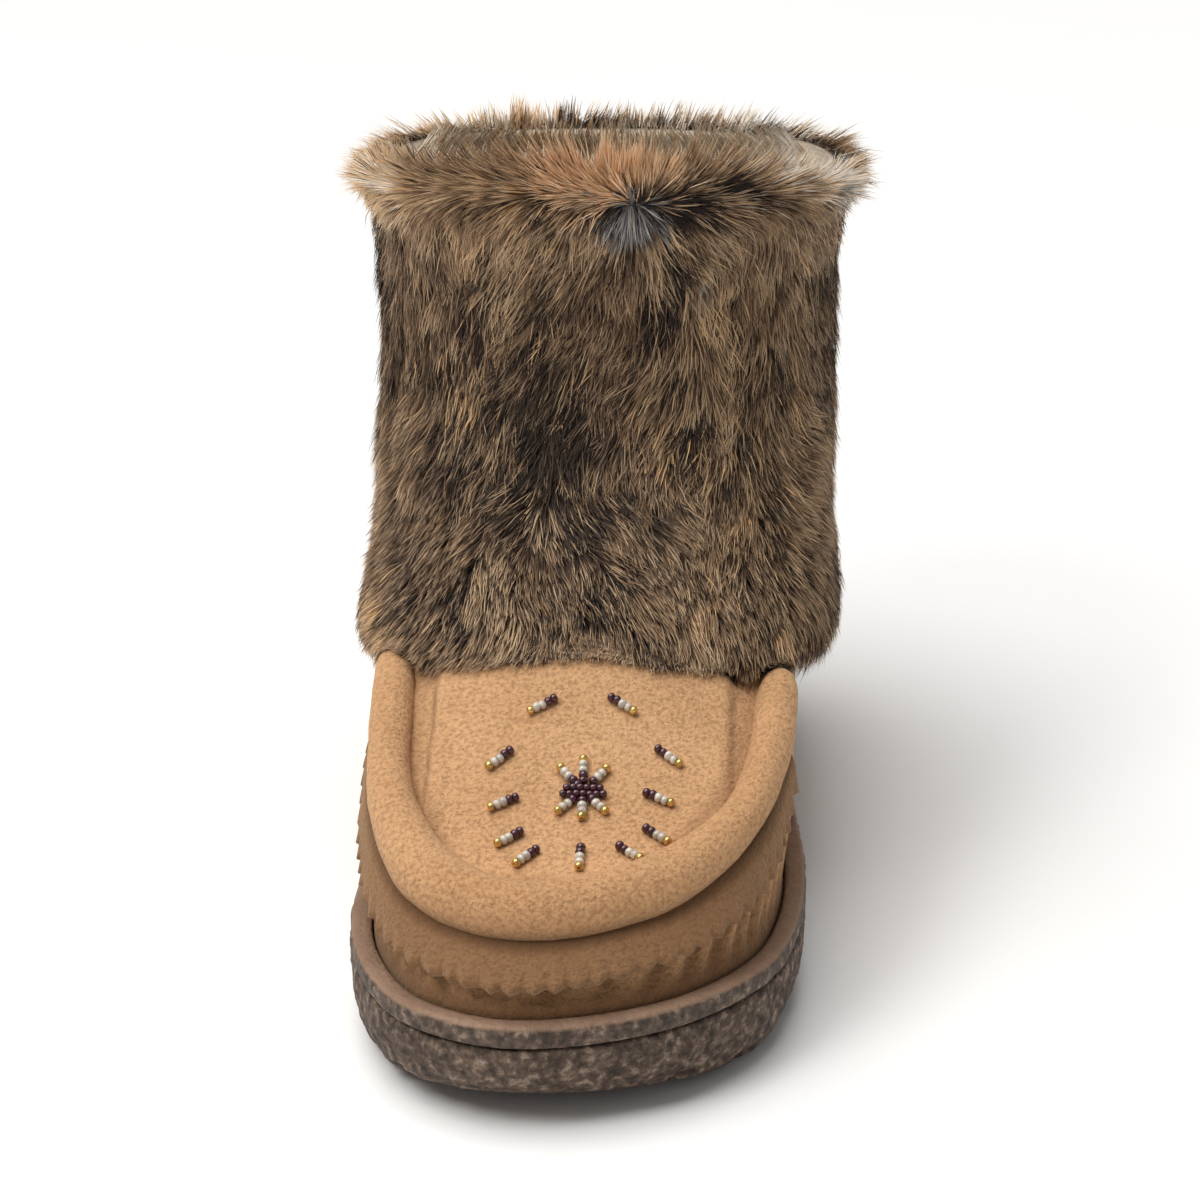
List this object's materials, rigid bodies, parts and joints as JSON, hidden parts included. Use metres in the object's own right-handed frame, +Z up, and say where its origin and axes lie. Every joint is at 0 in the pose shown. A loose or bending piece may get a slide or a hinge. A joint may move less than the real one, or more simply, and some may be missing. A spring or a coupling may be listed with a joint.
{
  "type": "mukluk boot",
  "caption": "Ankle-high left mukluk boot: suede moccasin with a rolled rim and a beaded plug, a pinked trim, a cupped rubber sole and a short fur shaft.",
  "frame": {"origin": "the middle of the bounding box's bottom face, on the floor that the boot stands on", "axes": "+Z up, +Y from toe to heel, -X towards the inner (big toe) side"},
  "size_m": [0.136, 0.274, 0.1845],
  "materials": {
    "crepe": "mottled brown crepe rubber, rough, with pale crumbs",
    "sole_band": "smooth satin brown rubber",
    "fleece": "short cream pile lining",
    "suede": "tan suede with a fine nap",
    "fur": "deep ticked brown, black, tan and cream fur",
    "hide": "matt brown hide under the fur",
    "thread": "tan waxed sewing thread",
    "bead_maroon": "glossy maroon glass seed beads, opaque",
    "bead_pearl": "pearl white glass seed beads, opaque",
    "bead_gold": "gold-lined seed beads"
  },
  "bodies": {
    "root": {"outsole": "crepe", "midsole": "sole_band", "insole": "fleece", "upper": "suede", "plug": "suede", "roll": "suede", "pinked_trim": "suede", "shaft": "fur", "bead_bar_1": "bead_maroon", "bead_bar_2": "bead_maroon", "bead_bar_3": "bead_maroon", "bead_bar_4": "bead_maroon", "bead_bar_5": "bead_maroon", "bead_bar_6": "bead_maroon", "bead_bar_7": "bead_maroon", "bead_bar_8": "bead_maroon", "bead_bar_9": "bead_maroon", "bead_bar_10": "bead_maroon", "bead_bar_11": "bead_maroon", "bead_star": "bead_maroon"}
  },
  "joints": []
}
